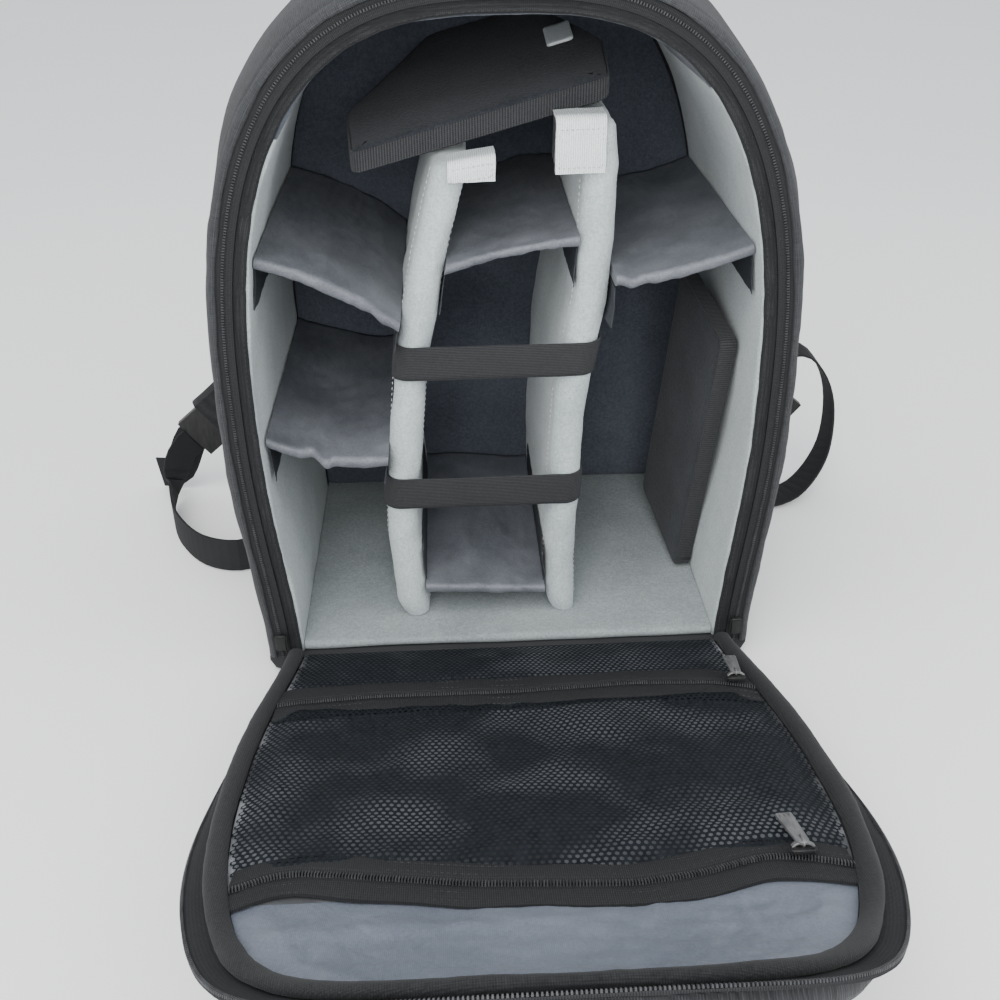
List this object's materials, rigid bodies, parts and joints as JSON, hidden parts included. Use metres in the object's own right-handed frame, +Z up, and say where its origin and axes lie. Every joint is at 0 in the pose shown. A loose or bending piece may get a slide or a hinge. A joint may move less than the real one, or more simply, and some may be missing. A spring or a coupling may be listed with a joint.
{
  "type": "camera backpack",
  "caption": "Padded camera backpack standing open, its zipped front flap with mesh pockets laid out in front, with re-placeable inner dividers.",
  "frame": {"origin": "middle of the body's base where it stands on the table, halfway between the rim's front and the back panel", "axes": "+Z up; -Y is the open front, with the flap laid out that way; +Y is the back panel that rests on the wearer; +X is the right side seen from the front"},
  "size_m": [0.5248, 0.5967, 0.4404],
  "materials": {
    "shell_cloth": "matte",
    "dark_trim": "matte",
    "pale_lining": "matte",
    "dark_lining": "matte",
    "slate_nylon": "satin",
    "hook_tape": "matte",
    "black_mesh": "matte",
    "grey_nylon": "satin",
    "zinc_pull": "satin",
    "black_plastic": "satin"
  },
  "bodies": {
    "root": {"gusset_wall": "shell_cloth", "back_panel": "shell_cloth", "base_panel": "shell_cloth", "rim_flange": "dark_trim", "rim_piping": "dark_trim", "main_zip_tape": "dark_trim", "side_pad_left": "pale_lining", "side_pad_right": "pale_lining", "top_lining": "dark_lining", "back_lining": "dark_lining", "floor_pad": "pale_lining", "divider_left": "pale_lining", "divider_right": "pale_lining", "hook_tab_left": "hook_tape", "hook_tab_right": "hook_tape", "elastic_band_upper": "dark_trim", "elastic_band_lower": "dark_trim", "loose_divider_top": "dark_lining", "loose_divider_top_tab": "hook_tape", "loose_divider_right": "dark_lining", "flap_panel": "shell_cloth", "flap_lining": "grey_nylon", "mesh_pocket_upper": "black_mesh", "mesh_pocket_lower": "black_mesh", "pocket_zip_upper": "dark_trim", "pocket_zip_lower": "dark_trim", "flap_binding": "dark_trim", "flap_zip_tape": "dark_trim", "flap_hinge": "dark_trim", "front_pocket": "shell_cloth", "pocket_slider_upper": "black_plastic", "pocket_slider_lower": "black_plastic", "pull_tab_upper": "zinc_pull", "pull_tab_lower": "zinc_pull", "main_slider_left": "black_plastic", "main_slider_right": "black_plastic", "shoulder_strap_left": "dark_trim", "shoulder_strap_right": "dark_trim", "ladder_lock_left": "black_plastic", "ladder_lock_right": "black_plastic", "webbing_left": "dark_trim", "webbing_tail_left": "dark_trim", "webbing_right": "dark_trim", "haul_loop": "dark_trim", "shelf_left_upper": "slate_nylon", "shelf_left_upper_wing_left": "dark_trim", "shelf_left_upper_wing_right": "dark_trim", "shelf_left_lower": "slate_nylon", "shelf_left_lower_wing_left": "dark_trim", "shelf_left_lower_wing_right": "dark_trim", "shelf_centre_upper": "slate_nylon", "shelf_centre_upper_wing_left": "dark_trim", "shelf_centre_upper_wing_right": "dark_trim", "shelf_centre_floor": "slate_nylon", "shelf_centre_floor_wing_left": "dark_trim", "shelf_centre_floor_wing_right": "dark_trim", "shelf_right_upper": "slate_nylon", "shelf_right_upper_wing_left": "dark_trim", "shelf_right_upper_wing_right": "dark_trim"}
  },
  "joints": []
}
